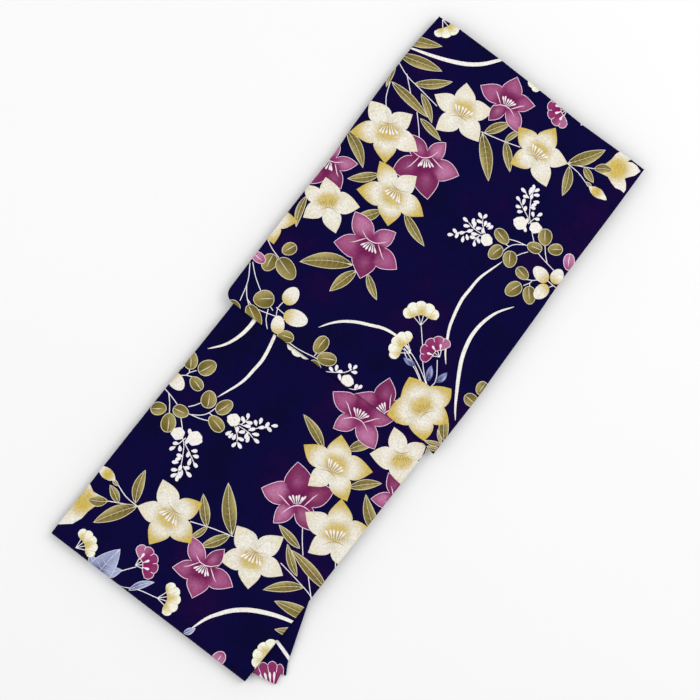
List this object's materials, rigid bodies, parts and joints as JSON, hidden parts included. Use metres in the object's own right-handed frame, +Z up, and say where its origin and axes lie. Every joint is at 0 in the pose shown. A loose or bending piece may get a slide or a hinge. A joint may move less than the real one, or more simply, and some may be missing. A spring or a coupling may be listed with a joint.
{
  "type": "folded cotton yukata robe",
  "caption": "Cotton yukata folded flat for storage, navy cloth with a bellflower and autumn grass print, one sleeve laid over the folded body.",
  "frame": {"origin": "on the surface it lies on, under the middle of the folded robe's box", "axes": "+Z up, +Y towards the shoulder folds along the robe's length, +X towards its side seams"},
  "size_m": [0.3717, 0.8512, 0.0202],
  "materials": {
    "printed_cotton": "matte"
  },
  "bodies": {
    "root": {"left_sleeve": "printed_cotton", "left_back": "printed_cotton", "right_front": "printed_cotton", "right_back": "printed_cotton", "right_sleeve": "printed_cotton", "hidden_layers": "printed_cotton"}
  },
  "joints": []
}
